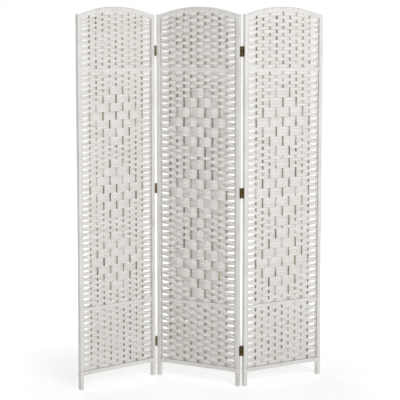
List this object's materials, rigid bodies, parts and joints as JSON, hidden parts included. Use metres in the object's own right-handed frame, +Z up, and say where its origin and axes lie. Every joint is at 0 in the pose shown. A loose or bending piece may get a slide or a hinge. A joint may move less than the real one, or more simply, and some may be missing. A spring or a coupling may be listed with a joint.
{
  "type": "folding room divider screen",
  "caption": "Free-standing zig-zag folding screen with arched, hand-woven paper cord panels on painted wooden frames, joined by butt hinges.",
  "frame": {"origin": "on the floor, under the middle of the standing screen's bounding box", "axes": "+Z up, X along the screen's overall width with the left panel at -X, the front towards -Y"},
  "size_m": [1.104, 0.329, 1.7],
  "materials": {
    "white_paint": "white painted wood, satin, with faint grain",
    "paper_cord": "white painted flat paper cord, matt, with fine twist lines",
    "stake_wood": "bare split wood, matt, partly washed with white",
    "dowel_wood": "bare beech, matt",
    "antique_brass": "darkened brass, worn on the knuckles"
  },
  "bodies": {
    "left_panel": {"left_lower_hinge_left_leaf": "antique_brass", "left_middle_hinge_left_leaf": "antique_brass", "left_panel_arch_binding": "paper_cord", "left_panel_arched_rail": "white_paint", "left_panel_bottom_rail": "white_paint", "left_panel_bottom_weave": "paper_cord", "left_panel_corner_lashings": "paper_cord", "left_panel_diamond_weave": "paper_cord", "left_panel_dowels": "dowel_wood", "left_panel_edge_rods": "white_paint", "left_panel_hinge_screws": "antique_brass", "left_panel_left_stile": "white_paint", "left_panel_lower_crossbar": "white_paint", "left_panel_right_stile": "white_paint", "left_panel_stakes": "stake_wood", "left_panel_top_weave": "paper_cord", "left_panel_upper_crossbar": "white_paint", "left_upper_hinge_left_leaf": "antique_brass"},
    "middle_panel": {"left_hinge_pins": "antique_brass", "left_lower_hinge_middle_leaf": "antique_brass", "left_middle_hinge_middle_leaf": "antique_brass", "left_upper_hinge_middle_leaf": "antique_brass", "middle_panel_arch_binding": "paper_cord", "middle_panel_arched_rail": "white_paint", "middle_panel_bottom_rail": "white_paint", "middle_panel_bottom_weave": "paper_cord", "middle_panel_corner_lashings": "paper_cord", "middle_panel_diamond_weave": "paper_cord", "middle_panel_dowels": "dowel_wood", "middle_panel_edge_rods": "white_paint", "middle_panel_hinge_screws": "antique_brass", "middle_panel_left_stile": "white_paint", "middle_panel_lower_crossbar": "white_paint", "middle_panel_right_stile": "white_paint", "middle_panel_stakes": "stake_wood", "middle_panel_top_weave": "paper_cord", "middle_panel_upper_crossbar": "white_paint", "right_hinge_pins": "antique_brass", "right_lower_hinge_middle_leaf": "antique_brass", "right_middle_hinge_middle_leaf": "antique_brass", "right_upper_hinge_middle_leaf": "antique_brass"},
    "right_panel": {"right_lower_hinge_right_leaf": "antique_brass", "right_middle_hinge_right_leaf": "antique_brass", "right_panel_arch_binding": "paper_cord", "right_panel_arched_rail": "white_paint", "right_panel_bottom_rail": "white_paint", "right_panel_bottom_weave": "paper_cord", "right_panel_corner_lashings": "paper_cord", "right_panel_diamond_weave": "paper_cord", "right_panel_dowels": "dowel_wood", "right_panel_edge_rods": "white_paint", "right_panel_hinge_screws": "antique_brass", "right_panel_left_stile": "white_paint", "right_panel_lower_crossbar": "white_paint", "right_panel_right_stile": "white_paint", "right_panel_stakes": "stake_wood", "right_panel_top_weave": "paper_cord", "right_panel_upper_crossbar": "white_paint", "right_upper_hinge_right_leaf": "antique_brass"}
  },
  "joints": [
    {"name": "left_fold", "type": "hinge", "parent": "middle_panel", "child": "left_panel", "pos_m": [-0.21117, 0.12319, 0], "axis": [0, 0, 1], "range_deg": [-72, 108]},
    {"name": "right_fold", "type": "hinge", "parent": "middle_panel", "child": "right_panel", "pos_m": [0.17738, -0.07614, 0], "axis": [0, 0, 1], "range_deg": [-64.2, 115.8]}
  ]
}
